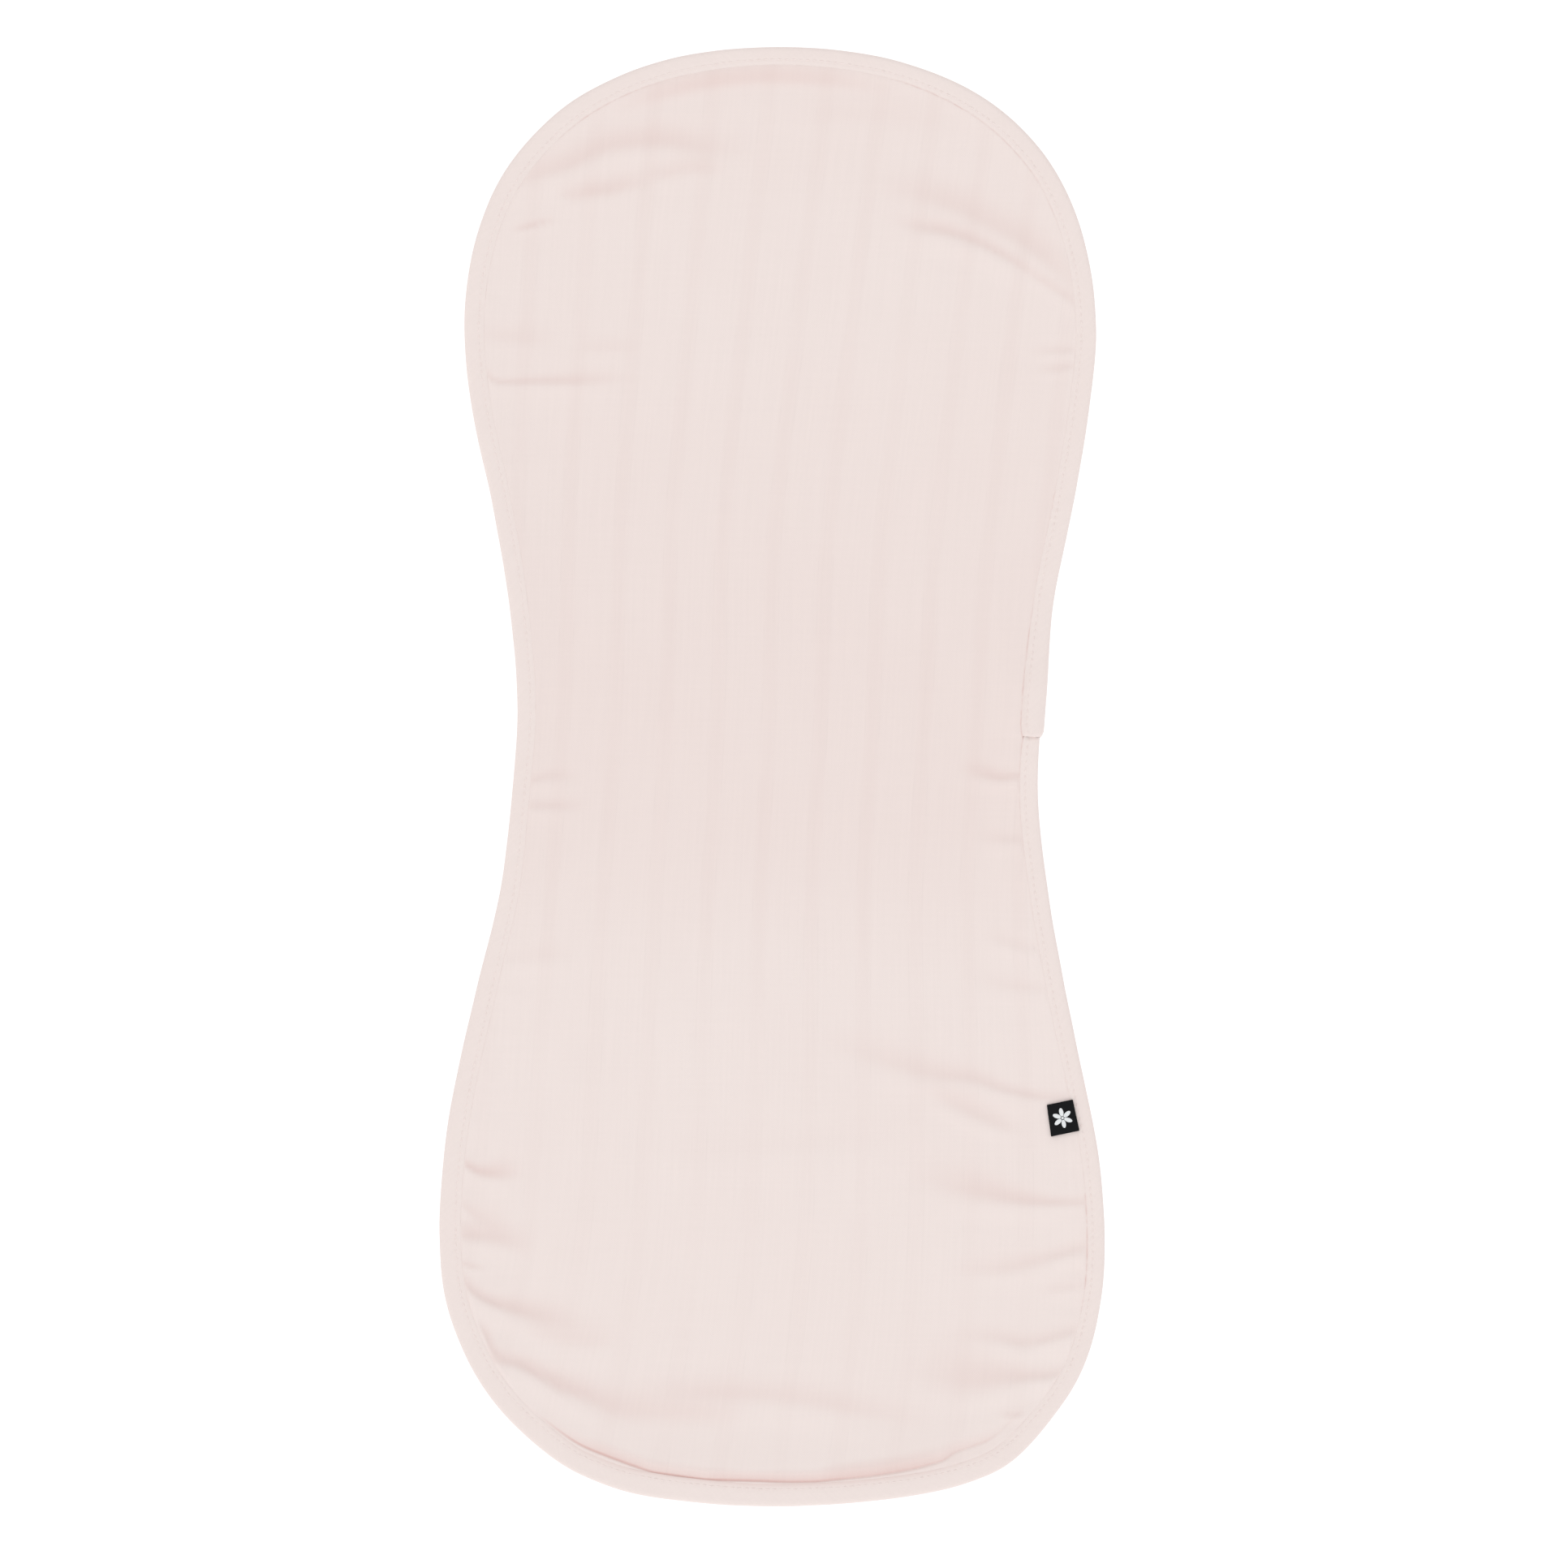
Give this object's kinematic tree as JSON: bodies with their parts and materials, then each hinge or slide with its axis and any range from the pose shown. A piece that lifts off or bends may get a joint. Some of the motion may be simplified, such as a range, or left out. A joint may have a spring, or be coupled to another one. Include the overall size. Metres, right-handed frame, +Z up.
{
  "type": "burp cloth",
  "caption": "Hourglass-shaped muslin burp cloth lying flat, its raw edge bound all round with a folded strip that overlaps at the waist, and a small ribbon label in the seam.",
  "frame": {"origin": "on the surface that the cloth lies on, under the middle of its width and length", "axes": "+Y along the cloth to its top end, +X across it to the side with the label, +Z up out of its face"},
  "size_m": [0.2314, 0.508, 0.0062],
  "materials": {
    "panel_muslin": "soft pale pink muslin, matt, with faint lengthwise bands a shade darker",
    "binding_muslin": "the same pale pink muslin cut on the bias, matt, with matching topstitching",
    "label_ribbon": "black woven ribbon with a slight satin sheen"
  },
  "bodies": {
    "root": {"panel": "panel_muslin", "edge_binding": "binding_muslin", "label": "label_ribbon"}
  },
  "joints": []
}
